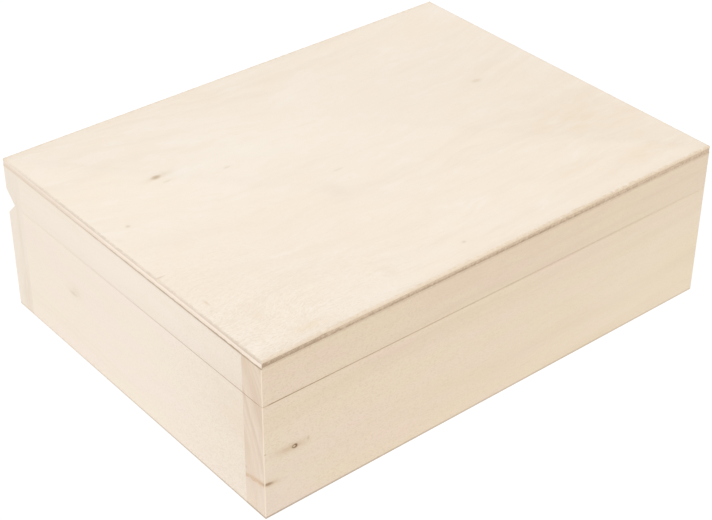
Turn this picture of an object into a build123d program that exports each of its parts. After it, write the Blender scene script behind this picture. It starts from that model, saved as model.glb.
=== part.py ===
"""A plain hinged wooden box: boards and plywood, glued up closed, eased and sawn apart into base and lid.

Millimetres. The origin is the middle of the underside, X runs along the length, the front faces -Y,
the hinges are along the back at +Y, and Z is up.
"""

import os
from math import sqrt

from build123d import *

# Outside of the closed box
BOX_LENGTH = 240.0
BOX_DEPTH = 181.0
BASE_HEIGHT = 54.0
SAW_GAP = 0.2
LID_RAIL_HEIGHT = 17.2

# Boards, and the tongues that hold the end boards in the long boards
BOARD = 12.0
TONGUE_THICKNESS = 4.0
TONGUE_LENGTH = 4.0
TONGUE_CLEARANCE = 0.1

# Three-ply plywood of the lid panel and the bottom panel, outer ply first
FACE_VENEER = 1.0
CORE_VENEER = 2.0
BACK_VENEER = 0.6
BOTTOM_REBATE = 6.0
BOTTOM_CLEARANCE = 0.2

# Sanded edges of the outside
CORNER_EASE = 0.4
TOP_EASE = 0.7
FOOT_EASE = 0.3

# Small butt hinges in a V-groove along the back
HINGE_INSET = 48.0
HINGE_LENGTH = 20.0
LEAF_WIDTH = 5.9
LEAF_THICKNESS = 0.7
LEAF_CORNER = 0.8
LEAF_MARGIN = 0.3
PIN_RADIUS = 0.65
PIN_CLEARANCE = 0.05
PIN_HEAD_LIP = 0.4
PIN_HEAD_HEIGHT = 0.4
KNUCKLES = 3
KNUCKLE_GAP = 0.2
KNUCKLE_CLEARANCE = 0.3
ROLL_SEAM = 0.15
BARREL_CLEARANCE = 0.2

# Countersunk screws of the hinges, two in each leaf
SCREW_RADIUS = 0.75
SCREW_LENGTH = 8.0
SCREW_TIP = 1.8
SCREW_SLOT_WIDTH = 0.35
SCREW_SLOT_DEPTH = 0.35
SCREW_FROM_EDGE = 2.1
SCREW_FROM_END = 4.0
SCREW_CLEARANCE = 0.05
COUNTERSINK_ANGLE = 90.0

# Levels and faces that follow from the sizes above
plywood = FACE_VENEER + CORE_VENEER + BACK_VENEER
rail_bottom = BASE_HEIGHT + SAW_GAP
rail_top = rail_bottom + LID_RAIL_HEIGHT
box_height = rail_top + plywood
saw_middle = BASE_HEIGHT + SAW_GAP / 2
back_face = BOX_DEPTH / 2
end_span = BOX_DEPTH - 2 * BOARD

# Hinge geometry: the knuckles stand just clear of both slopes of the V-groove
knuckle_radius = PIN_RADIUS + PIN_CLEARANCE + LEAF_THICKNESS
axis_height = knuckle_radius + BARREL_CLEARANCE
groove_slope = axis_height + LEAF_WIDTH + LEAF_THICKNESS + LEAF_MARGIN
groove_depth = groove_slope / sqrt(2)
groove_apex = back_face - groove_depth
knuckle_pitch = HINGE_LENGTH / KNUCKLES
screw_head_radius = SCREW_RADIUS + LEAF_THICKNESS - SCREW_CLEARANCE

SECTIONS = {"base": (0.0, BASE_HEIGHT, "board"), "lid": (rail_bottom, rail_top, "rail")}
HINGES = {"left": HINGE_INSET - BOX_LENGTH / 2, "right": BOX_LENGTH / 2 - HINGE_INSET}

os.makedirs("parts", exist_ok=True)


def save(piece, name):
    """Label a finished piece and write it under its own name."""
    piece.part.label = name
    export_step(piece.part, f"parts/{name}.step")


def leaf_plane(section, centre):
    """Plane of a leaf's seat on its slope, centred under the pin: Y to the leaf's edge, Z off the wood."""
    foot = axis_height / sqrt(2)
    seat = groove_apex + foot
    if section == "base":
        return Plane(origin=(centre, seat, saw_middle - foot), x_dir=(1, 0, 0), z_dir=(0, 1, 1))
    return Plane(origin=(centre, seat, saw_middle + foot), x_dir=(-1, 0, 0), z_dir=(0, 1, -1))


def screw_points():
    """The two screws of a leaf, in the leaf's plane on the top of the leaf."""
    along = HINGE_LENGTH / 2 - SCREW_FROM_END
    across = LEAF_WIDTH - SCREW_FROM_EDGE
    return [Vector(-along, across, LEAF_THICKNESS), Vector(along, across, LEAF_THICKNESS)]


# Outside of the closed box before the saw cut: eased edges, and the V-groove along the back
with BuildPart() as blank:
    with BuildSketch():
        Rectangle(BOX_LENGTH, BOX_DEPTH)
    extrude(amount=box_height)
    fillet(blank.faces().sort_by(Axis.Z)[-1].edges(), TOP_EASE)
    fillet(blank.edges().filter_by(Axis.Z), CORNER_EASE)
    chamfer(blank.faces().sort_by(Axis.Z)[0].edges(), FOOT_EASE)
    with BuildSketch(Plane.YZ):
        with BuildLine():
            Polyline(
                (back_face + groove_depth, saw_middle - 2 * groove_depth),
                (groove_apex, saw_middle),
                (back_face + groove_depth, saw_middle + 2 * groove_depth),
                close=True,
            )
        make_face()
    extrude(amount=BOX_LENGTH, both=True, mode=Mode.SUBTRACT)

# Room for the bottom panel: a rebate in all four base boards that stops short of the outside
with BuildPart() as bottom_rebate:
    with BuildSketch():
        rebate_inset = 2 * (BOARD - BOTTOM_REBATE)
        Rectangle(BOX_LENGTH - rebate_inset, BOX_DEPTH - rebate_inset)
    extrude(amount=plywood)


def long_board(section, side):
    """Front or back board of one section, full length, grooved near its ends for the end boards' tongues."""
    bottom, top, kind = SECTIONS[section]
    middle = side * (BOX_DEPTH - BOARD) / 2
    groove_middle = side * (end_span + TONGUE_LENGTH + TONGUE_CLEARANCE) / 2
    with BuildPart() as board:
        with BuildSketch(Plane.XY.offset(bottom)):
            with Locations((0, middle)):
                Rectangle(BOX_LENGTH, BOARD)
            with Locations((0, groove_middle)):
                with GridLocations(BOX_LENGTH - BOARD, 0, 2, 1):
                    Rectangle(
                        TONGUE_THICKNESS + 2 * TONGUE_CLEARANCE,
                        TONGUE_LENGTH + TONGUE_CLEARANCE,
                        mode=Mode.SUBTRACT,
                    )
        extrude(amount=top - bottom)
        if section == "base":
            add(bottom_rebate.part, mode=Mode.SUBTRACT)
        add(blank.part, mode=Mode.INTERSECT)
        if side > 0:
            for centre in HINGES.values():
                plane = leaf_plane(section, centre)
                for point in screw_points():
                    with Locations(Plane(plane.from_local_coords(point), plane.x_dir, plane.z_dir)):
                        Hole(SCREW_RADIUS + SCREW_CLEARANCE, SCREW_LENGTH + SCREW_CLEARANCE)
    save(board, f"{section}_{'back' if side > 0 else 'front'}_{kind}")


def end_board(section, side):
    """Left or right end board of one section, with a tongue at each end seated in the long boards."""
    bottom, top, kind = SECTIONS[section]
    with BuildPart() as board:
        with BuildSketch(Plane.XY.offset(bottom)):
            with Locations((side * (BOX_LENGTH - BOARD) / 2, 0)):
                Rectangle(BOARD, end_span)
                Rectangle(TONGUE_THICKNESS, end_span + 2 * TONGUE_LENGTH)
        extrude(amount=top - bottom)
        if section == "base":
            add(bottom_rebate.part, mode=Mode.SUBTRACT)
        add(blank.part, mode=Mode.INTERSECT)
    save(board, f"{section}_{'right' if side > 0 else 'left'}_{kind}")


def lid_veneer(name, bottom, thickness):
    """One ply of the lid panel, flush with the outside of the box and eased with it."""
    with BuildPart() as veneer:
        with BuildSketch(Plane.XY.offset(bottom)):
            Rectangle(BOX_LENGTH, BOX_DEPTH)
        extrude(amount=thickness)
        add(blank.part, mode=Mode.INTERSECT)
    save(veneer, f"lid_panel_{name}_veneer")


def bottom_veneer(name, bottom, thickness):
    """One ply of the bottom panel, which lies in the rebates of the four base boards."""
    panel_inset = 2 * (BOARD - BOTTOM_REBATE + BOTTOM_CLEARANCE)
    with BuildPart() as veneer:
        with BuildSketch(Plane.XY.offset(bottom)):
            Rectangle(BOX_LENGTH - panel_inset, BOX_DEPTH - panel_inset)
        extrude(amount=thickness)
    save(veneer, f"bottom_panel_{name}_veneer")


def hinge_leaf(hinge, section):
    """One leaf: a plate on its slope, notched for the other leaf's knuckles and rolled into its own."""
    plane = leaf_plane(section, HINGES[hinge])
    first_own = 0 if section == "base" else 1
    starts = [index * knuckle_pitch - HINGE_LENGTH / 2 for index in range(KNUCKLES)]
    notch_depth = knuckle_radius + KNUCKLE_CLEARANCE
    with BuildPart() as leaf:
        with BuildSketch(plane) as plate:
            with Locations((0, LEAF_WIDTH / 2)):
                Rectangle(HINGE_LENGTH - KNUCKLE_GAP, LEAF_WIDTH)
            fillet(plate.vertices().group_by(Axis.Y)[-1], LEAF_CORNER)
            for start in starts[1 - first_own :: 2]:
                with Locations((start + knuckle_pitch / 2, notch_depth / 2)):
                    Rectangle(knuckle_pitch + KNUCKLE_GAP, notch_depth, mode=Mode.SUBTRACT)
        extrude(amount=LEAF_THICKNESS)
        for start in starts[first_own::2]:
            knuckle_end = plane.from_local_coords((start + KNUCKLE_GAP / 2, 0, axis_height))
            with BuildSketch(Plane(knuckle_end, x_dir=plane.y_dir, z_dir=plane.x_dir)):
                Circle(knuckle_radius)
                Circle(PIN_RADIUS + PIN_CLEARANCE, mode=Mode.SUBTRACT)
                Rectangle(knuckle_radius, ROLL_SEAM, align=(Align.MIN, Align.CENTER), mode=Mode.SUBTRACT)
            extrude(amount=knuckle_pitch - KNUCKLE_GAP)
        for point in screw_points():
            with Locations(Plane(plane.from_local_coords(point), plane.x_dir, plane.z_dir)):
                CounterSinkHole(
                    SCREW_RADIUS + SCREW_CLEARANCE,
                    screw_head_radius + SCREW_CLEARANCE,
                    depth=2 * LEAF_THICKNESS,
                    counter_sink_angle=COUNTERSINK_ANGLE,
                )
    save(leaf, f"{hinge}_hinge_{section}_leaf")


def hinge_pin(hinge):
    """The pin through all knuckles, turned with a tapered head at each end that keeps it in place."""
    axis_point = leaf_plane("base", HINGES[hinge]).from_local_coords((0, 0, axis_height))
    half = HINGE_LENGTH / 2
    head_radius = PIN_RADIUS + PIN_HEAD_LIP
    tip = half + PIN_HEAD_HEIGHT
    with BuildPart() as pin:
        with BuildSketch(Plane(axis_point, x_dir=(1, 0, 0), z_dir=(0, 0, 1))):
            with BuildLine():
                Polyline(
                    (-tip, 0),
                    (-tip, PIN_RADIUS),
                    (-half, head_radius),
                    (-half, PIN_RADIUS),
                    (half, PIN_RADIUS),
                    (half, head_radius),
                    (tip, PIN_RADIUS),
                    (tip, 0),
                    close=True,
                )
            make_face()
        revolve(axis=Axis(axis_point, (1, 0, 0)))
    save(pin, f"{hinge}_hinge_pin")


def hinge_screws(section):
    """The four countersunk screws of one section, flush with their leaves."""
    head_height = screw_head_radius - SCREW_RADIUS
    with BuildPart() as screws:
        for centre in HINGES.values():
            plane = leaf_plane(section, centre)
            for point in screw_points():
                head = plane.from_local_coords(point)
                across = plane.x_dir.cross(plane.z_dir)
                with BuildSketch(Plane(head, x_dir=plane.x_dir, z_dir=across)):
                    with BuildLine():
                        Polyline(
                            (0, 0),
                            (screw_head_radius, 0),
                            (SCREW_RADIUS, -head_height),
                            (SCREW_RADIUS, SCREW_TIP - SCREW_LENGTH),
                            (0, -SCREW_LENGTH),
                            close=True,
                        )
                    make_face()
                revolve(axis=Axis(head, plane.z_dir))
                with BuildSketch(Plane(head, x_dir=plane.x_dir, z_dir=plane.z_dir)):
                    Rectangle(2 * screw_head_radius, SCREW_SLOT_WIDTH)
                extrude(amount=-SCREW_SLOT_DEPTH, mode=Mode.SUBTRACT)
    save(screws, f"{section}_hinge_screws")


for section in SECTIONS:
    for side in (-1, 1):
        long_board(section, side)
        end_board(section, side)
    hinge_screws(section)

lid_veneer("back", rail_top, BACK_VENEER)
lid_veneer("core", rail_top + BACK_VENEER, CORE_VENEER)
lid_veneer("face", rail_top + BACK_VENEER + CORE_VENEER, FACE_VENEER)
bottom_veneer("lower", 0, FACE_VENEER)
bottom_veneer("core", FACE_VENEER, CORE_VENEER)
bottom_veneer("upper", FACE_VENEER + CORE_VENEER, BACK_VENEER)

for hinge in HINGES:
    for section in SECTIONS:
        hinge_leaf(hinge, section)
    hinge_pin(hinge)
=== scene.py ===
"""Looks, studio and camera of a plain hinged wooden box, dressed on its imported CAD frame.

The base boards, the bottom panel and the hinges keep their CAD meshes and get procedural wood and
brass. The lid's rails and plies are rebuilt as numpy surfaces, because the photo shows what a plain
solid leaves out: a saw cut that closes towards the hinges, and rough, chipped plywood edges.
Lengths are millimetres in names that end in _mm and in all surfaces and textures; meshes are metres.
"""

import logging
import math
from dataclasses import dataclass
from enum import Enum
from typing import Any, Callable, Union

import bpy
import numpy as np
from mathutils import Matrix, Vector


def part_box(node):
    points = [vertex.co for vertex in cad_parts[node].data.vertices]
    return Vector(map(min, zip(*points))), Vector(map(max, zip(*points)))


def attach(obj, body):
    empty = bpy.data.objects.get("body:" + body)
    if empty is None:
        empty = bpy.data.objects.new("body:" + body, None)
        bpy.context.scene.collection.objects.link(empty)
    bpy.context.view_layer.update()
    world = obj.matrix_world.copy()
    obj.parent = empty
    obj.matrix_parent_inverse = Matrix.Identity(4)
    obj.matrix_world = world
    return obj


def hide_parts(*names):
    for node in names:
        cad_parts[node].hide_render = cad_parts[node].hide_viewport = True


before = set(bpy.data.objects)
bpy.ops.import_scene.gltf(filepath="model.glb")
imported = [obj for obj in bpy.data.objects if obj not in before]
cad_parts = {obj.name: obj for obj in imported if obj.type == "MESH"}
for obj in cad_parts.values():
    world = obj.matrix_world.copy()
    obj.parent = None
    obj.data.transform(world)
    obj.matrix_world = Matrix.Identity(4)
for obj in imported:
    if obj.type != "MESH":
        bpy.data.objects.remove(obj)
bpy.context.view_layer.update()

MM = 0.001
CORNER_MM = 0.4
SMOOTH_DEG = 32.0
SMOOTH_STEP = {"interpolation_type": "SMOOTHSTEP"}
QUARTER_TURN = np.linspace(0.0, math.pi / 2, 7)
WOOD_SHEEN = {"Specular IOR Level": 0.3}
WHITE = (255, 255, 255)
log = logging.getLogger("wooden_box")

Tone = tuple[float, float, float]
Socket = bpy.types.NodeSocket
Number = Union["Value", float]
Paint = Union[Socket, Tone]


class Side(Enum):
    """A wall of the box. The front and back boards run the full length, the end boards between them."""

    FRONT = "front"
    BACK = "back"
    LEFT = "left"
    RIGHT = "right"

    @property
    def lengthwise(self) -> bool:
        """True where the grain runs along X."""
        return self in (Side.FRONT, Side.BACK)

    @property
    def sign(self) -> float:
        """Sign of the wall's outward normal on its axis."""
        return -1.0 if self in (Side.FRONT, Side.LEFT) else 1.0


class Ply(Enum):
    """A layer of the lid's plywood, from the top down."""

    FACE = "face"
    CORE = "core"
    BACK = "back"

    @property
    def node(self) -> str:
        """The CAD node of the layer."""
        return f"lid_panel_{self.value}_veneer"


def span_mm(node: str, axis: int) -> tuple[float, float]:
    """Lowest and highest place of a CAD node on axis 0, 1 or 2, in millimetres."""
    low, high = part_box(node)
    return low[axis] / MM, high[axis] / MM


@dataclass(frozen=True)
class BoxSizes:
    """Main faces and levels of the box in millimetres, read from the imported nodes.

    A tongue has a length and a thickness, which is a third of the board's.
    """

    half_x: float
    half_y: float
    board: float
    tongue: tuple[float, float]
    base_top: float
    rail_top: float
    groove_top: float

    @classmethod
    def from_frame(cls) -> "BoxSizes":
        """Read the sizes.

        Returns:
            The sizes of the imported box.
        """
        front = span_mm("base_front_board", 1)
        end = span_mm("base_left_board", 1)
        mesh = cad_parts["lid_back_rail"].data
        places = np.empty(len(mesh.vertices) * 3)
        mesh.vertices.foreach_get("co", places)
        places = places.reshape(-1, 3) / MM
        outer = places[places[:, 1] > places[:, 1].max() - 0.01]
        board = front[1] - front[0]
        return cls(
            half_x=span_mm("base_front_board", 0)[1],
            half_y=-front[0],
            board=board,
            tongue=(end[1] + front[1], board / 3.0),
            base_top=span_mm("base_front_board", 2)[1],
            rail_top=span_mm("lid_front_rail", 2)[1],
            groove_top=float(outer[:, 2].min()),
        )


SIZES = BoxSizes.from_frame()


@dataclass(frozen=True)
class SawCut:
    """How far the lid stands off the base: open at the front left corner, closed along the hinges.

    With a and b the shares of the length and depth, the opening is
    (0.26 + 0.74 (1 - a)^3) (1 - 0.9 a^6) (1 - b^2)^2, for arrays and for shader values alike.
    """

    open_mm: float = 0.17
    close_mm: float = 0.004

    def opening(self, x: Any, y: Any) -> Any:
        """Share of the full opening.

        Args:
            x: Places along the length.
            y: Places along the depth.

        Returns:
            The share from 0 to 1, of the same kind as x and y.
        """
        a = x / (2.0 * SIZES.half_x) + 0.5
        b = y / (2.0 * SIZES.half_y) + 0.5
        depthwise = 1.0 - b * b
        return (0.26 + 0.74 * (1.0 - a) ** 3.0) * (1.0 - 0.9 * a**6.0) * depthwise * depthwise

    def rim(self, x: np.ndarray, y: np.ndarray) -> np.ndarray:
        """Height of the lid's sawn rim, by the cube of the opening."""
        inside = np.clip(x, -SIZES.half_x, SIZES.half_x)
        return SIZES.base_top + self.close_mm + self.open_mm * self.opening(inside, y) ** 3


CUT = SawCut()


def linear(tone: Tone) -> tuple[float, float, float, float]:
    """Turn an sRGB tone into a shader colour.

    Args:
        tone: Red, green and blue from 0 to 255.

    Returns:
        The scene-linear colour with an alpha of 1.
    """
    share = np.asarray(tone, float) / 255.0
    value = np.where(share <= 0.04045, share / 12.92, ((share + 0.055) / 1.055) ** 2.4)
    return (float(value[0]), float(value[1]), float(value[2]), 1.0)


def operator(operation: str, swapped: bool = False) -> Callable[..., "Value"]:
    """Make a method of Value that adds a Math node.

    Args:
        operation: Blender's name of the operation.
        swapped: True where the Value is the last term.

    Returns:
        The method.
    """

    def method(self: "Value", *others: Number) -> "Value":
        """Add the node and return its result."""
        terms = (*others, self) if swapped else (self, *others)
        return self.graph.math(operation, *terms)

    return method


class Value:
    """A number on a shader socket. Its operators add Math nodes to the graph that it came from."""

    __add__, __radd__ = operator("ADD"), operator("ADD", swapped=True)
    __sub__, __rsub__ = operator("SUBTRACT"), operator("SUBTRACT", swapped=True)
    __mul__, __rmul__ = operator("MULTIPLY"), operator("MULTIPLY", swapped=True)
    __truediv__, __pow__ = operator("DIVIDE"), operator("POWER")
    __abs__, root, exp = operator("ABSOLUTE"), operator("SQRT"), operator("EXPONENT")
    least, most = operator("MINIMUM"), operator("MAXIMUM")

    def __init__(self, graph: "Graph", socket: Socket) -> None:
        """Hold a socket of a graph."""
        self.graph = graph
        self.socket = socket

    def __neg__(self) -> "Value":
        """Opposite."""
        return self * -1.0

    def rise(self, low: float, high: float) -> "Value":
        """Smooth step from 0 below low to 1 above high."""
        sockets = {"Value": self, "From Min": low, "From Max": high}
        return Value(self.graph, self.graph.node("MapRange", SMOOTH_STEP, sockets).outputs["Result"])

    def fall(self, low: float, high: float) -> "Value":
        """Smooth step from 1 below low to 0 above high."""
        return 1.0 - self.rise(low, high)

    def bell(self, centre: Number, width: float) -> "Value":
        """Soft bump exp(-((v - centre) / width)^2) round a place."""
        away = (self - centre) / width
        return (-(away * away)).exp()


class Graph:
    """Writes the node tree of a material or world, in millimetres of the object's own coordinates."""

    def __init__(self, owner: Union[bpy.types.Material, bpy.types.World]) -> None:
        """Start with an empty tree.

        Args:
            owner: The material or world.
        """
        self.owner = owner
        owner.use_nodes = True
        self.tree = owner.node_tree
        self.tree.nodes.clear()

    @classmethod
    def of_material(cls, name: str) -> "Graph":
        """Graph of a new material."""
        return cls(bpy.data.materials.new(name))

    def node(self, kind: str, settings: dict | None = None, sockets: dict | None = None) -> bpy.types.Node:
        """Add a node.

        Args:
            kind: Node type without the ShaderNode prefix.
            settings: Attributes of the node, set before its sockets.
            sockets: Value, tone or link for each input, by name or index.

        Returns:
            The node.
        """
        made = self.tree.nodes.new("ShaderNode" + kind)
        for name, setting in (settings or {}).items():
            setattr(made, name, setting)
        for name, given in (sockets or {}).items():
            self.fill(made.inputs[name], given)
        return made

    def fill(self, place: Socket, given: Union[Number, Paint]) -> None:
        """Link a socket to an input, or set the input's own value.

        Args:
            place: The input.
            given: A socket, a Value, a number or a tuple.
        """
        source = given.socket if isinstance(given, Value) else given
        if isinstance(source, bpy.types.NodeSocket):
            self.tree.links.new(source, place)
        elif place.type == "RGBA":
            place.default_value = linear(source)
        else:
            place.default_value = source

    def math(self, operation: str, *terms: Number) -> Value:
        """Result of a new Math node."""
        made = self.node("Math", {"operation": operation}, dict(enumerate(terms)))
        return Value(self, made.outputs[0])

    def place(self) -> tuple[Value, Value, Value]:
        """Where a point is on the object.

        Returns:
            X, Y and Z in millimetres.
        """
        coords = self.node("TexCoord").outputs["Object"]
        scaled = self.node("VectorMath", {"operation": "SCALE"}, {0: coords, "Scale": 1.0 / MM})
        parts = self.node("SeparateXYZ", {}, {0: scaled.outputs[0]})
        return Value(self, parts.outputs[0]), Value(self, parts.outputs[1]), Value(self, parts.outputs[2])

    def noise(
        self, first: Number, second: Number, third: Number, detail: float = 2.0, rough: float = 0.5
    ) -> Value:
        """Fractal noise at a point of a stretched space.

        Args:
            first: First coordinate, already divided by the size of the pattern that way.
            second: Second coordinate, likewise.
            third: Third coordinate, likewise.
            detail: Octaves above the first.
            rough: Weight of each octave against the one before.

        Returns:
            The noise, about 0.5 on average.
        """
        spot = self.node("CombineXYZ", {}, {0: first, 1: second, 2: third}).outputs[0]
        sockets = {"Vector": spot, "Scale": 1.0, "Detail": detail, "Roughness": rough}
        return Value(self, self.node("TexNoise", {"noise_dimensions": "3D"}, sockets).outputs[0])

    def mix(self, share: Number, first: Paint, second: Paint) -> Socket:
        """Blend of two colours or tones: the first at a share of 0, the second at 1."""
        settings = {"data_type": "RGBA", "clamp_factor": True}
        return self.node("Mix", settings, {0: share, 6: first, 7: second}).outputs[2]

    def finish(
        self, colour: Paint, rough: Number, height: Value, depth_mm: float, fixed: dict
    ) -> bpy.types.Material:
        """Join the parts to a Principled shader.

        Args:
            colour: Base colour.
            rough: Roughness.
            height: Relief from 0 to 1.
            depth_mm: Depth of the relief.
            fixed: Constants of the shader's other sockets.

        Returns:
            The finished material.
        """
        relief = self.node("Bump", {}, {"Height": height, "Distance": depth_mm * MM, "Strength": 1.0})
        sockets = {"Base Color": colour, "Roughness": rough, "Normal": relief.outputs[0]}
        shader = self.node("BsdfPrincipled", {}, {**sockets, **fixed})
        self.node("OutputMaterial", {}, {"Surface": shader.outputs[0]})
        return self.owner


@dataclass(frozen=True)
class Knot:
    """A small branch in the wood: a dark spot, or a ring with a pale heart, in a tan halo along the grain.

    The branch meets the surface at (along, across), sinks by slope for each millimetre below it, and
    its halo leans off the grain by lean for each millimetre along.
    """

    along_mm: float
    across_mm: float
    radii_mm: tuple[float, float]
    halo_mm: tuple[float, float, float]
    dark: Tone
    tan: Tone
    strength: float = 1.0
    slope: float = 0.0
    lean: float = 0.0
    soft: float = 0.3
    heart: Tone | None = None

    def paint(self, graph: Graph, colour: Paint, along: Value, across: Value, below: Number) -> Socket:
        """Paint the knot over a colour.

        Args:
            graph: Graph of the material.
            colour: Colour under the knot.
            along: Place along the grain.
            across: Place across the grain.
            below: Depth under the surface.

        Returns:
            The colour with the knot.
        """
        before, after, wide = self.halo_mm
        long, short = self.radii_mm
        ragged = graph.noise(along / 2.6, across / 0.8, below / 1.6 + self.along_mm) - 0.5
        u = along - self.along_mm
        waver = 0.5 * short * ragged * (1.0 + below)
        v = across - self.across_mm - self.lean * u + self.slope * below + waver
        stretch = u.most(0.0) / after - u.least(0.0) / before
        halo = (-(stretch * stretch + (v / wide) * (v / wide))).exp()
        colour = graph.mix(halo * (0.75 + ragged) * self.strength, colour, self.tan)
        radius = ((u / long) ** 2.0 + (v / short) ** 2.0).root() + 0.5 * ragged
        fresh = (below * -0.8).exp() if isinstance(below, Value) else 1.0
        spot = radius.fall(0.85 - self.soft, 0.85 + self.soft) * fresh * self.strength
        colour = graph.mix(spot, colour, self.dark)
        if self.heart is None:
            return colour
        off = ((u + 0.2 * long) / long) ** 2.0 + (v / short) ** 2.0
        return graph.mix(off.root().fall(0.25, 0.6), colour, self.heart)


@dataclass(frozen=True)
class Stain:
    """A soft, ragged patch of another tone on a board or veneer."""

    along_mm: float
    across_mm: float
    radii_mm: tuple[float, float]
    tone: Tone
    strength: float

    def paint(self, graph: Graph, colour: Paint, along: Value, across: Value, ragged: Value) -> Socket:
        """Paint the patch over a colour.

        Args:
            graph: Graph of the material.
            colour: Colour under the patch.
            along: Place along the grain.
            across: Place across the grain.
            ragged: Noise that breaks up the outline.

        Returns:
            The colour with the patch.
        """
        u = (along - self.along_mm) / self.radii_mm[0]
        v = (across - self.across_mm) / self.radii_mm[1]
        cover = (-(u * u + v * v)).exp()
        return graph.mix(cover * (ragged * 3.0 - 0.5) * self.strength, colour, self.tone)


@dataclass(frozen=True)
class BoardWood:
    """Bare solid wood of one wall, cut from a log, so rings, streaks and knots run through the saw cut.

    Ring figure follows the distance to the pith, r = |(inward, height) - pith| + wander, so the long
    faces show streaks and the sawn ends show growth rings. Towards the front left corner the grain
    stands up by nap. The end tones show on the long boards only.
    """

    side: Side
    pale: Tone
    blush: Tone
    late: Tone
    pith_mm: tuple[float, float]
    seed: float
    end: Tone = (238, 224, 208)
    end_late: Tone = (224, 206, 186)
    ring_mm: float = 2.2
    wander_mm: float = 7.0
    figure: float = 0.35
    # Pale tone of the rubbed upright corners, which also paints a highlight on the arris.
    rubbed: Tone = (243, 227, 205)
    # Tone of the painted shade: a shadow along the foot and a band under the lid panel.
    painted_shade: Tone = (166, 144, 120)
    # Brown tone of the painted shade along the saw cut.
    cut_shade_tone: Tone = (170, 133, 90)
    # Strength of the painted shade under the lid panel.
    seam_shade: float = 0.15
    # Strength of the painted shadow along the foot.
    foot_shadow: float = 1.0
    nap: float = 0.55
    relief_mm: float = 0.05
    knots: tuple[Knot, ...] = ()
    stains: tuple[Stain, ...] = ()
    end_stains: tuple[Stain, ...] = ()

    def material(self) -> bpy.types.Material:
        """Build the material.

        Returns:
            The wood of this wall.
        """
        graph = Graph.of_material(f"board_wood_{self.side.value}")
        x, y, z = graph.place()
        along, depth = (x, y) if self.side.lengthwise else (y, x)
        face = SIZES.half_y if self.side.lengthwise else SIZES.half_x
        inward = face - self.side.sign * depth
        far = along / 150.0 + self.seed
        wander = graph.noise(far, inward / 45.0, z / 38.0) - 0.5
        radius = (inward - self.pith_mm[0]) ** 2.0 + (z - self.pith_mm[1]) ** 2.0
        radius = radius.root() + wander * self.wander_mm * 2.0
        ring = graph.noise(radius / self.ring_mm, along / 420.0, self.seed, 2.0, 0.6)
        drift = graph.noise(along / 48.0, z / 13.0 + self.seed, inward / 14.0, 5.0, 0.66)
        fibre = graph.noise(along / 11.0, inward / 0.8, z / 0.8 + self.seed, 3.0, 0.6)
        grit = graph.noise(along / 1.1, inward / 0.55 + self.seed, z / 0.55, 2.0, 0.7)
        colour = graph.mix(drift.rise(0.36, 0.64), self.pale, self.blush)
        colour = graph.mix(ring.rise(0.5, 0.76) * self.figure, colour, self.late)
        colour = graph.mix(fibre.rise(0.5, 0.8) * self.figure, colour, self.late)
        raised = x.fall(-SIZES.half_x, 40.0) * y.fall(-SIZES.half_y, 0.0) * self.nap
        colour = graph.mix(grit.rise(0.45, 0.75) * (0.4 + raised), colour, self.late)
        relief = fibre * 0.5 + ring * 0.3 + grit * (0.4 + raised * 3.2)
        if self.side.lengthwise:
            colour = self.sawn_end(graph, colour, along, inward, z, ring)
        for stain in self.stains:
            colour = stain.paint(graph, colour, along, z, drift)
        for knot in self.knots:
            colour = knot.paint(graph, colour, along, z, inward)
        colour = self.wear_and_shade(graph, colour, x, y, z, inward)
        rough = 0.58 + fibre * 0.12
        return graph.finish(colour, rough, relief, self.relief_mm, WOOD_SHEEN)

    def sawn_end(
        self, graph: Graph, colour: Paint, along: Value, inward: Value, z: Value, ring: Value
    ) -> Socket:
        """Paint the sawn ends of a long board with growth rings and pores.

        Args:
            graph: Graph of the material.
            colour: Colour of the long faces.
            along: Place along the grain.
            inward: Depth under the outer face.
            z: Height.
            ring: Ring figure.

        Returns:
            The colour with the ends.
        """
        cut = abs(along).rise(SIZES.half_x - 0.5, SIZES.half_x - 0.1)
        pore = graph.noise(inward / 0.45, z / 0.6, self.seed)
        ray = graph.noise(inward / 0.8, z / 11.0, self.seed + 3.0)
        sawn = graph.mix(ring.rise(0.3, 0.72) * 0.75, self.end, self.end_late)
        sawn = graph.mix(ray.rise(0.45, 0.75) * 0.35, sawn, self.end_late)
        sawn = graph.mix(pore.rise(0.5, 0.75) * 0.3, sawn, self.end_late)
        for stain in self.end_stains:
            sawn = stain.paint(graph, sawn, inward, z, ray)
        return graph.mix(cut, colour, sawn)

    def wear_and_shade(self, graph: Graph, colour: Paint, x: Value, y: Value, z: Value, inward: Value) -> Socket:
        """Paint rubbed corners with a painted highlight, and painted shade at the foot, the saw cut and the
        panel.

        Args:
            graph: Graph of the material.
            colour: Colour of the clean wood.
            x: Place along the length.
            y: Place along the depth.
            z: Height.
            inward: Depth under the outer face.

        Returns:
            The colour with the wear and the painted light and shade.
        """
        from_end = SIZES.half_x - abs(x)
        from_side = SIZES.half_y - abs(y)
        # Pale band on the upright corners: rubbed wood with a painted highlight on the arris.
        upright_highlight = from_end.fall(0.12, 0.5) * from_side.fall(0.12, 0.5)
        colour = graph.mix(upright_highlight * 0.9, colour, self.rubbed)
        opening = CUT.opening(x, y)
        outer = from_end.least(from_side)
        patchy = graph.noise(x / 3.0, y / 3.0, z / 1.5 + self.seed, 3.0, 0.6)
        # Painted contact shadow along the foot, stronger where the saw cut stands open.
        foot_shadow = z.fall(0.55, 1.5) * outer.fall(0.8, 2.0)
        colour = graph.mix(foot_shadow * (0.3 + opening * 0.5) * self.foot_shadow, colour, self.painted_shade)
        # Painted shade in a band just under the lid panel, strongest in front.
        seam_shade = z.bell(SIZES.rail_top, 0.45) * inward.fall(0.15, 0.6) * (1.0 - y.rise(-60.0, 85.0) * 0.8)
        colour = graph.mix(seam_shade * (patchy * 3.0 - 0.5) * self.seam_shade, colour, self.painted_shade)
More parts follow.
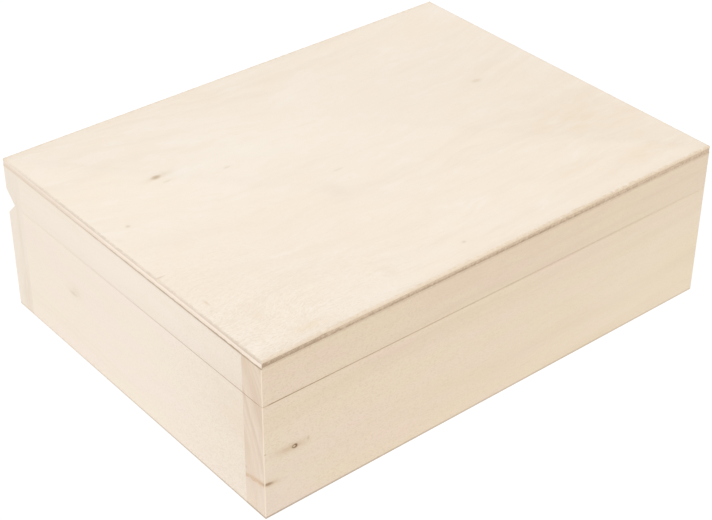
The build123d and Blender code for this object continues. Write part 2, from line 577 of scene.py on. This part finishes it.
        # Painted shade along the saw cut, brown like sawdust, as strong as the cut is open.
        blur = 0.2 + x.rise(-80.0, 100.0) * 0.5 + y.rise(-60.0, 70.0) * 0.45
        spread = (z - SIZES.base_top - 0.05) / blur
        cut_shade = (-(spread * spread)).exp() * opening * outer.fall(0.15, 0.6)
        cut_shade = cut_shade * from_side.most(from_end).rise(0.5, 5.0) * (0.48 + from_end.rise(0.2, 1.0) * 0.5)
        eased = (1.0 - x.rise(-70.0, 0.0) * 0.18) * (1.0 - y.rise(-60.0, 20.0) * 0.36)
        return graph.mix(cut_shade * eased * (0.6 + patchy * 0.8), colour, self.cut_shade_tone)


@dataclass(frozen=True)
class VeneerWood:
    """Rotary-cut face of plywood: figure in slow curves round a knot, fine streaks, flecks and stains.

    Streaks run along x at a warped y' = y - sag * ((x - low) / 100)^2 * falloff(y) - wander, which
    gives the smile-shaped sweep of the figure. Towards the front left corner the fibres stand up, and
    along the edges they are torn and rubbed.
    """

    name: str
    pale: Tone
    blush: Tone
    streak: Tone
    wisp: Tone
    edge: Tone
    edge_end: Tone
    seed: float
    lip_mm: float = 0.0
    figure: float = 0.4
    sag_mm: float = 12.0
    low_mm: float = 20.0
    fade: tuple[float, float] = (30.0, 0.5)
    relief_mm: float = 0.035
    knots: tuple[Knot, ...] = ()
    stains: tuple[Stain, ...] = ()

    def material(self) -> bpy.types.Material:
        """Build the material.

        Returns:
            The veneer.
        """
        graph = Graph.of_material(self.name)
        x, y, z = graph.place()
        bend = (x - self.low_mm) / 100.0
        wander = graph.noise(x / 60.0, y / 34.0, self.seed, 3.0) - 0.5
        line = y - bend * bend * self.sag_mm * y.rise(-40.0, 30.0) - wander * 24.0
        for knot in self.knots[:1]:
            aside = y - knot.across_mm
            line = line - aside * x.bell(knot.along_mm, 20.0) * aside.bell(0.0, 14.0) * 0.6
        figure = graph.noise(x / 95.0 + self.seed, line / 8.0, self.seed, 3.0, 0.6)
        streak = graph.noise(x / 17.0, line / 1.5, self.seed, 3.0, 0.62)
        fleck = graph.noise(x / 1.8, line / 0.5, self.seed, 1.0).rise(0.62, 0.8)
        cloud = graph.noise(x / 30.0, y / 20.0, self.seed + 9.0, 5.0, 0.66)
        wisp = graph.noise(x / 24.0, line / 5.0, self.seed + 5.0, 4.0, 0.65)
        colour = graph.mix(cloud.rise(0.34, 0.66), self.pale, self.blush)
        colour = graph.mix(figure.rise(0.48, 0.74) * self.figure, colour, self.streak)
        colour = graph.mix(streak.rise(0.5, 0.8) * cloud.rise(0.3, 0.6) * self.figure, colour, self.streak)
        colour = graph.mix(wisp.rise(0.5, 0.75) * cloud.fall(0.4, 0.65) * 0.7, colour, self.wisp)
        colour = graph.mix(fleck * 0.4, colour, self.streak)
        rough_spot = x.fall(-70.0, 70.0) * y.fall(-40.0, 40.0)
        hair = graph.noise(x / 22.0, line / 0.7, self.seed + 7.0, 2.0, 0.6).rise(0.56, 0.72) * rough_spot
        colour = graph.mix(hair * 0.4, colour, self.streak)
        raised = x.fall(-SIZES.half_x, 0.0) * y.fall(-SIZES.half_y, 30.0)
        fuzz = graph.noise(x / 1.6, line / 0.42, self.seed + 4.0, 2.0, 0.7)
        colour = graph.mix(fuzz.rise(0.5, 0.7) * raised, colour, self.streak)
        colour = graph.mix(fuzz.fall(0.3, 0.5) * raised, colour, self.wisp)
        tear = graph.noise(x / 2.2, y / 2.2, z / 0.7, 3.0, 0.7)
        sides = (abs(y) + (tear - 0.5) * 1.6).rise(SIZES.half_y - 1.5, SIZES.half_y + 0.3)
        ends = (abs(x) + (tear - 0.5) * 0.8).rise(SIZES.half_x - 1.15, SIZES.half_x + 0.05)
        rubbed = sides + abs(y).rise(SIZES.half_y - 6.0, SIZES.half_y) * 0.15
        colour = graph.mix(rubbed * (tear * 2.4 - 0.2), colour, self.edge)
        near = 1.0 - y.rise(self.fade[0], SIZES.half_y) * self.fade[1]
        bare = z.fall(self.lip_mm, self.lip_mm + 0.45) * y.rise(-85.0, -50.0)
        colour = graph.mix(ends * (0.45 + tear * 1.1) * near * (1.0 - bare), colour, self.edge_end)
        ragged = graph.noise(x / 14.0, line / 4.5, self.seed + 2.0, 4.0, 0.65)
        for stain in self.stains:
            colour = stain.paint(graph, colour, x, y, ragged)
        for knot in self.knots:
            colour = knot.paint(graph, colour, x, y, 0.0)
        relief = streak * 0.6 + figure * 0.3 - fleck * 0.6 - hair
        relief = relief + (sides + ends) * tear + fuzz * raised * 4.0
        rough = 0.56 + streak * 0.14
        return graph.finish(colour, rough, relief, self.relief_mm, WOOD_SHEEN)


@dataclass(frozen=True)
class CoreWood:
    """Middle ply, grain across the box: dark, torn end grain in front, pale long grain at the ends."""

    pale: Tone
    bare: Tone
    tan: Tone
    dark: Tone
    speck: Tone
    shade: Tone

    def material(self) -> bpy.types.Material:
        """Build the material.

        Returns:
            The core ply.
        """
        graph = Graph.of_material("core_wood_crossing")
        x, y, z = graph.place()
        low, high = span_mm(Ply.CORE.node, 2)
        level = (z - low) / (high - low)
        fibre = graph.noise(x / 0.8, y / 14.0, z / 0.6, 3.0, 0.6)
        brick = graph.noise(x / 1.5, y / 5.0, z / 1.6, 2.0, 0.7)
        patch = graph.noise(x / 14.0, 3.0, 0.0)
        speck = graph.noise(x / 0.7, y / 2.0, z / 0.5)
        corner = x.fall(-0.78 * SIZES.half_x, -0.68 * SIZES.half_x)
        # Ramp towards the right end: the core's dark band weakens and a uniform darker tone is added.
        wear_and_shade = x.rise(10.0, 0.95 * SIZES.half_x)
        shade = level.bell(0.2, 0.32) * (0.4 + patch * 0.75) * (1.0 - wear_and_shade * 0.75) + wear_and_shade * 0.16
        shade = shade.most(corner * (0.5 + 0.5 * level.bell(0.15, 0.4))) + (brick - 0.5) * 2.3
        torn = graph.mix(shade, self.tan, self.dark)
        torn = graph.mix(speck.rise(0.58, 0.75) * (0.45 + corner * 0.45), torn, self.speck)
        smooth = graph.mix(fibre.rise(0.45, 0.8) * 0.2, self.pale, self.tan)
        smooth = graph.mix(y.bell(-20.0, 42.0) * 0.7, smooth, self.bare)
        shadow = level.fall(0.15, 0.8) * y.rise(-100.0, -50.0) * 0.4
        smooth = graph.mix(shadow + y.rise(0.0, SIZES.half_y) * 0.35, smooth, self.shade)
        ends = abs(x).rise(SIZES.half_x - 0.6, SIZES.half_x - 0.25)
        colour = graph.mix(ends, torn, smooth)
        relief = brick * 0.6 + speck * 0.4
        return graph.finish(colour, 0.7 + brick * 0.1, relief, 0.12, {"Specular IOR Level": 0.2})


@dataclass(frozen=True)
class HingeBrass:
    """Satin brass plating with fine brush lines, scratches and a little tarnish."""

    name: str
    bright: Tone
    tarnish: Tone
    satin: float = 0.22

    def material(self) -> bpy.types.Material:
        """Build the material.

        Returns:
            The metal of the hinges and screws.
        """
        graph = Graph.of_material(self.name)
        x, y, z = graph.place()
        brush = graph.noise(x / 6.0, y / 0.12, z / 0.12, 3.0, 0.6)
        scratch = graph.noise((x + y * 3.0) / 0.15, (y - z) / 4.0, z / 2.0, 1.0).rise(0.68, 0.76)
        dull = graph.noise(x / 3.5, y / 2.2, z / 2.2, 4.0, 0.6)
        colour = graph.mix(dull.rise(0.45, 0.75) * 0.45, self.bright, self.tarnish)
        rough = self.satin + dull.rise(0.4, 0.8) * 0.14 + brush * 0.08 + scratch * 0.1
        relief = brush * 0.5 - scratch * 0.5 + dull * 0.3
        return graph.finish(colour, rough, relief, 0.012, {"Metallic": 1.0})


def tube(name: str, rings: np.ndarray) -> bpy.types.Object:
    """Mesh of a closed tube of points, capped at both ends, with its faces outward.

    Args:
        name: Name of the object.
        rings: Points in millimetres as rings[i, j], ring i of the tube and point j round it.

    Returns:
        The object, at the origin and in metres.
    """
    count, around = rings.shape[:2]
    index = np.arange(count * around).reshape(count, around)
    here, there = index[:-1], index[1:]
    quads = np.stack([here, np.roll(here, -1, 1), np.roll(there, -1, 1), there], -1).reshape(-1, 4)
    caps = [index[0, ::-1], index[-1]]
    points = rings.reshape(-1, 3)
    corner = points[quads]
    twice = np.cross(corner[:, 2] - corner[:, 0], corner[:, 3] - corner[:, 1])
    spokes = [points[cap] - points[cap[0]] for cap in caps]
    fans = [np.cross(spoke, np.roll(spoke, -1, 0)) for spoke in spokes]
    volume = np.einsum("ij,ij->", corner.mean(1) - points.mean(0), twice)
    volume += sum(float((points[cap[0]] - points.mean(0)) @ fan.sum(0)) for cap, fan in zip(caps, fans))
    step = 1 if volume > 0 else -1
    faces = [*quads[:, ::step].tolist(), *(cap[::step].tolist() for cap in caps)]
    mesh = bpy.data.meshes.new(name)
    mesh.from_pydata((points * MM).tolist(), [], faces)
    mesh.polygons.foreach_set("use_smooth", np.ones(len(faces), bool))
    mesh.set_sharp_from_angle(angle=math.radians(SMOOTH_DEG))
    made = bpy.data.objects.new(name, mesh)
    bpy.context.scene.collection.objects.link(made)
    return made


def dress(node: str, material: bpy.types.Material) -> None:
    """Give a CAD node a material."""
    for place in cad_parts[node].material_slots:
        place.material = material


@dataclass
class LidRail:
    """One rail of the lid above the saw cut, a profile carried along its wall.

    With s along the wall, w inward and a profile of unit corners (u, v) plus offsets (du, dv),
    w = outer(s) + u (inner(s) - outer(s)) + du and z = low(x, y) + v (high - low(x, y)) + dv.
    The rim low(x, y) is the saw cut's.
    """

    side: Side
    ease_mm: float = 0.1
    corner_mm: float = CORNER_MM
    play_mm: float = 0.1
    samples: int = 40

    def outline(self) -> np.ndarray:
        """Profile corners round the rail.

        Returns:
            Rows of u, v, du, dv.
        """
        turn = np.linspace(0.0, math.pi / 2, 5)[:, None]
        lip = self.ease_mm * np.hstack([1.0 - np.cos(turn), 1.0 - np.sin(turn)])
        if self.side is Side.BACK:
            depth = SIZES.groove_top - SIZES.base_top - self.play_mm
            lip = np.array([[0.0, SIZES.groove_top - SIZES.base_top], [depth, 0.0]])
        lower = np.hstack([np.zeros_like(lip), lip])
        corners = np.array([[1.0, 0.0, 0.0, 0.0], [1.0, 1.0, 0.0, 0.0], [0.0, 1.0, 0.0, 0.0]])
        return np.vstack([lower, corners])

    def stations(self) -> tuple[np.ndarray, np.ndarray, np.ndarray]:
        """Path samples with the outer and inner faces at each, stepped at the tongue joints.

        Returns:
            Arrays of s, outer and inner.
        """
        length, width = SIZES.tongue
        board, middle = SIZES.board, SIZES.half_x - SIZES.board / 2
        if self.side.lengthwise:
            half = width / 2 + self.play_mm
            bend = SIZES.half_x - self.corner_mm * (1.0 - np.sin(QUARTER_TURN))
            step = [middle - half, middle + half, middle + half]
            right = np.hstack([np.linspace(0.0, middle - half, self.samples), step, bend])
            inner = np.full(right.size, board)
            inner[self.samples : self.samples + 2] = board - length - self.play_mm
            over = np.maximum(0.0, right - SIZES.half_x + self.corner_mm)
            outer = self.corner_mm - np.sqrt(np.maximum(0.0, self.corner_mm**2 - over**2))
        else:
            shoulder = SIZES.half_y - board
            right = np.hstack([np.linspace(0.0, shoulder, self.samples), [shoulder, shoulder + length]])
            clear = np.arange(right.size) < self.samples
            inner = np.where(clear, board, board / 2 + width / 2)
            outer = np.where(clear, 0.0, board / 2 - width / 2)
        mirror = slice(None, 0, -1)
        return (
            np.hstack([-right[mirror], right]),
            np.hstack([outer[mirror], outer]),
            np.hstack([inner[mirror], inner]),
        )

    def build(self, wood: bpy.types.Material) -> bpy.types.Object:
        """Build the rail in place of its CAD node.

        Args:
            wood: Wood of the wall.

        Returns:
            The rail.
        """
        path, outer, inner = self.stations()
        u, v, du, dv = self.outline().T
        w = outer[:, None] + u * (inner - outer)[:, None] + du
        s = np.broadcast_to(path[:, None], w.shape)
        face = SIZES.half_y if self.side.lengthwise else SIZES.half_x
        across = self.side.sign * (face - w)
        x, y = (s, across) if self.side.lengthwise else (across, s)
        low = CUT.rim(x, y)
        z = low + v * (SIZES.rail_top - low) + dv
        node = f"lid_{self.side.value}_rail"
        made = tube(f"{node}_sawn", np.stack([x, y, z], -1))
        made.data.materials.append(wood)
        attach(made, "lid")
        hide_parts(node)
        return made


@dataclass
class PlyEdge:
    """One layer of the lid's plywood: its edge profile carried round the panel, closed by flat faces.

    Point P(t, s) = c(s) - n(s) d(t, s) at height z(t), with c and n the outline of a rectangle with
    small round corners and its normal, and d the inset: the eased arris of the face veneer, the
    torn fibres of the core, and a chip where the face veneer has broken out in front. Near a corner
    the inset is held below the corner's radius.
    """

    ply: Ply
    tear_mm: float
    seed: int
    ease_mm: float = 0.0
    chip_mm: float = 0.0
    chip_at_mm: float = -91.0
    chip_half_mm: float = 3.2
    corner_mm: float = CORNER_MM
    step_mm: float = 0.7

    def path(self) -> tuple[np.ndarray, np.ndarray]:
        """Outline of the panel.

        Returns:
            Points and outward normals.
        """
        half = np.array([SIZES.half_x, SIZES.half_y]) - self.corner_mm
        angle = np.hstack([QUARTER_TURN + quarter * math.pi / 2 for quarter in range(4)])
        normal = np.stack([np.cos(angle), np.sin(angle)], -1)
        corner = np.array([[1, 1], [-1, 1], [-1, -1], [1, -1]]).repeat(QUARTER_TURN.size, 0)
        bends = corner * half + normal * self.corner_mm
        ahead, next_normal = np.roll(bends, -1, 0), np.roll(normal, -1, 0)
        gap = np.linalg.norm(ahead - bends, axis=1)
        counts = np.maximum(1, np.round(gap / self.step_mm)).astype(int)
        start = np.repeat(np.arange(counts.size), counts)
        share = (np.arange(counts.sum()) - np.repeat(np.cumsum(counts) - counts, counts)) / counts[start]
        points = bends[start] + (ahead - bends)[start] * share[:, None]
        normals = normal[start] + (next_normal - normal)[start] * share[:, None]
        return points, normals / np.linalg.norm(normals, axis=1)[:, None]

    def build(self, wood: bpy.types.Material) -> bpy.types.Object:
        """Build the layer in place of its CAD node.

        Args:
            wood: Material of the layer.

        Returns:
            The layer.
        """
        low, high = span_mm(self.ply.node, 2)
        points, normals = self.path()
        turn = QUARTER_TURN[1:] if self.ease_mm else QUARTER_TURN[:0]
        wall = np.linspace(low, high - self.ease_mm, 4)
        height = np.hstack([wall, high - self.ease_mm + self.ease_mm * np.sin(turn)])
        inset = np.hstack([np.zeros(wall.size), self.ease_mm * (1.0 - np.cos(turn))])
        noise = np.random.default_rng(self.seed).random((height.size, len(points)))
        noise = (np.roll(noise, 1, 1) + 2.0 * noise + np.roll(noise, -1, 1)) / 4.0
        inset = inset[:, None] + self.tear_mm * noise
        chipped = np.exp(-(((points[:, 0] - self.chip_at_mm) / self.chip_half_mm) ** 4)) * (points[:, 1] < 0)
        share = (height - low) / (high - low)
        inset += self.chip_mm * chipped * (0.55 + noise) * (0.35 + 0.65 * share[:, None])
        straight = np.array([SIZES.half_x, SIZES.half_y]) - self.corner_mm - np.abs(points)
        inset = np.minimum(inset, 0.85 * self.corner_mm + 0.5 * np.maximum(0.0, straight.max(1)))
        flat = points - normals * inset[..., None]
        level = np.broadcast_to(height[:, None, None], (*inset.shape, 1))
        made = tube(f"{self.ply.node}_edged", np.concatenate([flat, level], -1))
        made.data.materials.append(wood)
        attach(made, "lid")
        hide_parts(self.ply.node)
        return made


@dataclass
class Walls:
    """The four walls: boards of the base as packed, and rails of the lid as sawn surfaces."""

    finishes: tuple[BoardWood, ...]

    def build(self) -> None:
        """Dress the base boards and build the lid rails in the same wood."""
        for finish in self.finishes:
            wood = finish.material()
            dress(f"base_{finish.side.value}_board", wood)
            rail = LidRail(finish.side).build(wood)
            log.info("%s wall: board dressed, %s built", finish.side.value, rail.name)


@dataclass
class Panels:
    """The plywood: the lid panel as edged layers, and the bottom panel as packed."""

    top: VeneerWood
    inside: VeneerWood
    bottom: VeneerWood
    core: CoreWood
    edges: tuple[PlyEdge, ...] = (
        PlyEdge(Ply.FACE, tear_mm=0.05, ease_mm=0.7, chip_mm=0.55, seed=5),
        PlyEdge(Ply.CORE, tear_mm=0.22, chip_mm=0.3, seed=7),
        PlyEdge(Ply.BACK, tear_mm=0.05, seed=11),
    )

    def build(self) -> None:
        """Build the lid panel's layers and dress the bottom panel's."""
        core = self.core.material()
        woods = {Ply.FACE: self.top.material(), Ply.CORE: core, Ply.BACK: self.inside.material()}
        for edge in self.edges:
            log.info("lid panel: %s built", edge.build(woods[edge.ply]).name)
        bottom = self.bottom.material()
        for layer in ("upper", "lower"):
            dress(f"bottom_panel_{layer}_veneer", bottom)
        dress("bottom_panel_core_veneer", core)
        log.info("bottom panel: dressed")


@dataclass
class Hinges:
    """Both butt hinges with their pins and screws."""

    leaves: HingeBrass
    screws: HingeBrass

    def build(self) -> None:
        """Dress the leaves and pins, and the screws in a duller brass."""
        brass, dull = self.leaves.material(), self.screws.material()
        metal = [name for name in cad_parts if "hinge" in name]
        for name in metal:
            dress(name, dull if "screws" in name else brass)
        log.info("hinges: %d nodes dressed", len(metal))


def outward(azimuth_deg: float, elevation_deg: float) -> Vector:
    """Direction from the box to a place round it.

    Args:
        azimuth_deg: Angle round the box, 0 in front and positive to the right.
        elevation_deg: Angle above the floor.

    Returns:
        The unit vector.
    """
    turn, tilt = math.radians(azimuth_deg), math.radians(elevation_deg)
    return Vector((math.sin(turn) * math.cos(tilt), -math.cos(turn) * math.cos(tilt), math.sin(tilt)))


@dataclass
class Studio:
    """White floor and surroundings with one large soft lamp at the front left.

    The floor lies aside, so that the diagonal of its one face doesn't run under the box, and a hair
    below. It glows by glow_share, and by glow_seen more where it is seen.
    """

    floor_m: float = 8.0
    floor_aside_m: float = 1.0
    floor_below_mm: float = 0.05
    floor_tone: Tone = (228, 228, 228)
    glow: float = 1.07
    glow_share: float = 0.5
    glow_seen: float = 0.38
    ambient: float = 0.66
    lamp_azimuth_deg: float = -56.0
    lamp_elevation_deg: float = 52.0
    lamp_distance_m: float = 15.0
    lamp_size_m: float = 10.0
    lamp_power_w: float = 1050.0

    def shown(self, graph: Graph) -> Value:
        """Tell the rays that show the background from the rest.

        Args:
            graph: Graph of the floor or the world.

        Returns:
            1 for camera, glossy and transmission rays.
        """
        rays = graph.node("LightPath").outputs
        kinds = ("Is Camera Ray", "Is Glossy Ray", "Is Transmission Ray")
        camera, glossy, clear = (Value(graph, rays[kind]) for kind in kinds)
        return camera.most(glossy).most(clear)

    def floor(self) -> None:
        """Lay the floor: mostly white light where it is seen, with a diffuse share that takes the shadow."""
        graph = Graph.of_material("studio_floor")
        diffuse = graph.node("BsdfDiffuse", {}, {"Color": self.floor_tone})
        glow = graph.node("Emission", {}, {"Color": WHITE, "Strength": self.glow})
        share = self.glow_share + self.shown(graph) * self.glow_seen
        seen = graph.node("MixShader", {}, {0: share, 1: diffuse.outputs[0], 2: glow.outputs[0]})
        under = Value(graph, graph.node("NewGeometry").outputs["Backfacing"])
        clear = graph.node("BsdfTransparent")
        both = graph.node("MixShader", {}, {0: under, 1: seen.outputs[0], 2: clear.outputs[0]})
        graph.node("OutputMaterial", {}, {"Surface": both.outputs[0]})
        half = self.floor_m / 2
        corners = [(-half, -half, 0.0), (half, -half, 0.0), (half, half, 0.0), (-half, half, 0.0)]
        mesh = bpy.data.meshes.new("floor")
        mesh.from_pydata(corners, [], [(0, 1, 2, 3)])
        mesh.materials.append(graph.owner)
        made = bpy.data.objects.new("floor", mesh)
        made.location = (self.floor_aside_m, 0.0, -self.floor_below_mm * MM)
        bpy.context.scene.collection.objects.link(made)

    def world(self) -> None:
        """Light the object evenly from all round, and show plain white behind it."""
        graph = Graph(bpy.data.worlds.new("studio"))
        bpy.context.scene.world = graph.owner
        strength = self.ambient + self.shown(graph) * (1.0 - self.ambient)
        light = graph.node("Background", {}, {"Color": WHITE, "Strength": strength})
        graph.node("OutputWorld", {}, {"Surface": light.outputs[0]})

    def lamp(self) -> None:
        """Hang the lamp and aim it at the box."""
        back = outward(self.lamp_azimuth_deg, self.lamp_elevation_deg)
        data = bpy.data.lights.new("key", "AREA")
        data.size = self.lamp_size_m
        data.energy = self.lamp_power_w
        made = bpy.data.objects.new("key", data)
        made.location = back * self.lamp_distance_m
        made.rotation_euler = (-back).to_track_quat("-Z", "Y").to_euler()
        bpy.context.scene.collection.objects.link(made)

    def build(self) -> None:
        """Set up floor, surroundings and lamp."""
        self.floor()
        self.world()
        self.lamp()
        bpy.context.scene.view_settings.view_transform = "Standard"
        log.info("studio: floor, world and lamp ready")


@dataclass
class PhotoCamera:
    """Camera at the photo's station: above the front left corner, with a long lens."""

    azimuth_deg: float = -39.71
    elevation_deg: float = 34.253
    roll_deg: float = 0.381
    distance_mm: float = 800.0
    aim_mm: tuple[float, float, float] = (19.43, 25.03, -2.1)
    lens_mm: float = 87.12
    sensor_mm: float = 36.0
    clip_m: tuple[float, float] = (0.01, 50.0)

    def build(self) -> None:
        """Place the camera and make it the scene's."""
        turn = math.radians(self.azimuth_deg)
        back = outward(self.azimuth_deg, self.elevation_deg)
        right = Vector((math.cos(turn), math.sin(turn), 0.0))
        look = Matrix((right, back.cross(right), back)).transposed()
        look = look @ Matrix.Rotation(math.radians(self.roll_deg), 3, "Z")
        data = bpy.data.cameras.new("camera")
        data.lens, data.sensor_width = self.lens_mm, self.sensor_mm
        data.clip_start, data.clip_end = self.clip_m
        made = bpy.data.objects.new("camera", data)
        station = (Vector(self.aim_mm) + back * self.distance_mm) * MM
        made.matrix_world = Matrix.Translation(station) @ look.to_4x4()
        bpy.context.scene.collection.objects.link(made)
        bpy.context.scene.camera = made
        log.info("camera: ready")


BROWN, SAND = (130, 101, 72), (210, 182, 146)

FRONT_WOOD = BoardWood(
    Side.FRONT,
    pale=(238, 222, 194),
    blush=(240, 220, 200),
    late=(226, 204, 177),
    end=(235, 218, 199),
    end_late=(214, 191, 168),
    pith_mm=(186.0, -27.0),
    seed=1.7,
    wander_mm=3.5,
    knots=(
        Knot(-105.6, 28.7, (1.5, 1.15), (8.5, 5.0, 1.75), BROWN, SAND, lean=-0.1, heart=(214, 190, 160)),
        Knot(
            -118.4, 16.8, (2.3, 0.7), (4.5, 4.5, 1.2), (174, 147, 119), (208, 178, 143),
            slope=0.17, lean=-0.14, soft=0.55,
        ),
        Knot(-99.3, 29.5, (0.5, 0.9), (0.8, 0.8, 1.2), (190, 166, 136), SAND, 0.3, soft=0.6),
        Knot(-119.5, 31.6, (0.6, 0.3), (0.5, 0.5, 0.3), (196, 172, 146), SAND, 0.8, slope=4.0),
    ),
    stains=(
        Stain(20.0, 77.0, (190.0, 22.0), (223, 196, 166), 0.34),
        Stain(104.0, 10.0, (60.0, 36.0), (242, 227, 201), 0.5),
        Stain(-112.0, 12.0, (24.0, 20.0), (236, 219, 204), 0.45),
    ),
    end_stains=(
        Stain(6.0, 66.0, (14.0, 10.0), (237, 221, 203), 0.3),
        Stain(6.0, 3.0, (14.0, 8.0), (235, 217, 195), 0.8),
        Stain(10.5, 24.0, (6.0, 9.0), (229, 208, 182), 0.55),
        Stain(5.0, 16.2, (6.0, 1.5), (232, 203, 173), 0.5),
        Stain(12.0, 18.6, (1.2, 0.8), (190, 162, 132), 0.75),
    ),
)
LEFT_WOOD = BoardWood(
    Side.LEFT,
    pale=(243, 231, 214),
    blush=(244, 230, 217),
    late=(235, 221, 203),
    pith_mm=(70.0, 40.0),
    seed=5.3,
    figure=0.28,
    seam_shade=0.2,
    foot_shadow=0.75,
    nap=1.6,
    knots=(
        Knot(38.8, 34.4, (3.4, 2.4), (5.0, 5.0, 3.4), (236, 221, 202), (234, 218, 198), 0.5),
        Knot(41.2, 32.4, (2.6, 0.8), (3.0, 5.0, 1.2), (208, 188, 160), (228, 210, 186), 0.32, soft=0.6),
    ),
    stains=(
        Stain(-80.0, 44.0, (24.0, 24.0), (236, 218, 194), 0.45),
        Stain(10.0, 64.0, (110.0, 9.0), (248, 237, 224), 0.45),
    ),
)
BACK_WOOD = BoardWood(
    Side.BACK,
    pale=(241, 227, 205),
    blush=(242, 225, 207),
    late=(228, 209, 184),
    end=(240, 229, 214),
    end_late=(238, 226, 211),
    pith_mm=(-190.0, 96.0),
    seed=9.1,
    wander_mm=3.5,
    knots=(Knot(52.0, 22.0, (1.3, 0.9), (8.0, 6.0, 1.8), (150, 122, 94), SAND, 0.8),),
    end_stains=(
        Stain(8.0, 44.0, (1.4, 16.0), (228, 214, 192), 0.4),
        Stain(8.5, 8.0, (3.5, 16.0), (230, 210, 190), 0.45),
    ),
)
RIGHT_WOOD = BoardWood(
    Side.RIGHT,
    pale=(243, 230, 211),
    blush=(244, 228, 210),
    late=(234, 217, 196),
    pith_mm=(-58.0, 12.0),
    seed=13.9,
)
TOP_VENEER = VeneerWood(
    "veneer_wood_top",
    pale=(248, 236, 221),
    blush=(248, 234, 216),
    streak=(238, 223, 204),
    wisp=(251, 243, 231),
    edge=(228, 207, 180),
    edge_end=(215, 198, 180),
    seed=2.4,
    lip_mm=span_mm(Ply.FACE.node, 2)[0] + 0.05,
    figure=0.32,
    knots=(
        Knot(
            -78.6, 36.9, (2.1, 1.3), (5.5, 8.0, 1.6), (196, 172, 142), (229, 212, 186),
            0.8, lean=0.05, soft=0.7,
        ),
        Knot(-76.6, 31.5, (2.2, 0.7), (2.0, 3.0, 0.9), (228, 212, 191), (237, 223, 204), 0.4, soft=0.6),
        Knot(-51.0, 25.0, (1.6, 0.6), (2.5, 2.5, 0.9), (228, 214, 192), (238, 226, 208), 0.5, soft=0.5),
        Knot(-16.0, -5.6, (2.6, 0.6), (3.0, 3.0, 0.9), (230, 214, 192), (240, 228, 210), 0.45, soft=0.5),
        Knot(81.8, 15.3, (2.6, 1.3), (4.0, 4.0, 2.4), (230, 212, 187), (240, 226, 206), 0.65, soft=0.6),
        Knot(-108.0, 13.0, (1.0, 0.9), (2.0, 2.0, 1.0), (206, 187, 163), (238, 224, 206), 0.45, soft=0.7),
        Knot(-12.0, -78.9, (1.0, 0.7), (2.0, 2.0, 0.8), (212, 193, 168), (238, 224, 206), 0.4, soft=0.6),
    ),
    stains=(
        Stain(-35.0, 28.0, (75.0, 34.0), (251, 242, 229), 0.45),
        Stain(70.0, 34.0, (62.0, 40.0), (241, 227, 210), 0.25),
        Stain(-70.0, -40.0, (70.0, 34.0), (247, 231, 213), 0.35),
        Stain(104.0, -46.0, (36.0, 48.0), (241, 223, 199), 0.35),
        Stain(86.0, -38.0, (26.0, 18.0), (238, 219, 192), 0.22),
        Stain(62.0, -66.0, (14.0, 4.0), (237, 219, 192), 0.35),
        Stain(98.0, -78.0, (22.0, 6.0), (238, 219, 193), 0.3),
        Stain(-91.0, -84.5, (9.0, 2.2), (237, 217, 188), 0.45),
        Stain(-103.5, -67.0, (3.0, 5.0), (240, 222, 197), 0.35),
        Stain(-114.0, -49.0, (0.6, 2.6), (228, 208, 180), 0.45),
        Stain(-115.6, -54.4, (1.0, 0.5), (226, 207, 182), 0.45),
        Stain(-118.2, -24.4, (2.0, 0.4), (220, 200, 176), 0.6),
        Stain(-119.8, -26.0, (0.7, 1.3), (234, 218, 198), 0.7),
        Stain(-48.0, -76.0, (3.0, 3.4), (231, 214, 192), 0.35),
        Stain(-27.0, -18.0, (5.0, 8.0), (239, 225, 209), 0.35),
        Stain(-104.0, -90.4, (15.0, 0.9), (243, 227, 208), 0.5),
        Stain(-38.0, -90.4, (56.0, 0.9), (244, 227, 206), 0.5),
    ),
)
INSIDE_VENEER = VeneerWood(
    "veneer_wood_inside",
    pale=(244, 231, 211),
    blush=(243, 228, 209),
    streak=(232, 213, 188),
    wisp=(248, 237, 220),
    edge=(219, 198, 173),
    edge_end=(182, 161, 138),
    fade=(-80.0, 0.75),
    seed=7.8,
    sag_mm=-9.0,
    knots=(Knot(36.0, -28.0, (2.2, 1.1), (9.0, 7.0, 1.5), (170, 142, 110), (226, 206, 178)),),
)
BOTTOM_VENEER = VeneerWood(
    "veneer_wood_bottom",
    pale=(243, 230, 209),
    blush=(242, 226, 206),
    streak=(230, 211, 185),
    wisp=(247, 235, 217),
    edge=(238, 223, 205),
    edge_end=(214, 196, 172),
    seed=12.6,
    sag_mm=16.0,
    low_mm=-40.0,
    knots=(Knot(-42.0, 18.0, (2.6, 1.2), (9.0, 11.0, 1.6), (164, 134, 102), (224, 202, 172)),),
)


def main() -> None:
    """Build every piece in order."""
    logging.basicConfig(level=logging.INFO, format="%(name)s: %(message)s")
    core = CoreWood(
        pale=(248, 233, 217),
        bare=(253, 239, 223),
        tan=(222, 199, 172),
        dark=(186, 162, 137),
        speck=(160, 133, 107),
        shade=(224, 207, 190),
    )
    Walls((FRONT_WOOD, BACK_WOOD, LEFT_WOOD, RIGHT_WOOD)).build()
    Panels(TOP_VENEER, INSIDE_VENEER, BOTTOM_VENEER, core).build()
    leaves = HingeBrass("hinge_brass", bright=(228, 200, 130), tarnish=(188, 152, 92))
    screws = HingeBrass("screw_brass", bright=(198, 166, 104), tarnish=(150, 116, 66), satin=0.3)
    Hinges(leaves, screws).build()
    Studio().build()
    PhotoCamera().build()


if __name__ == "__main__":
    main()
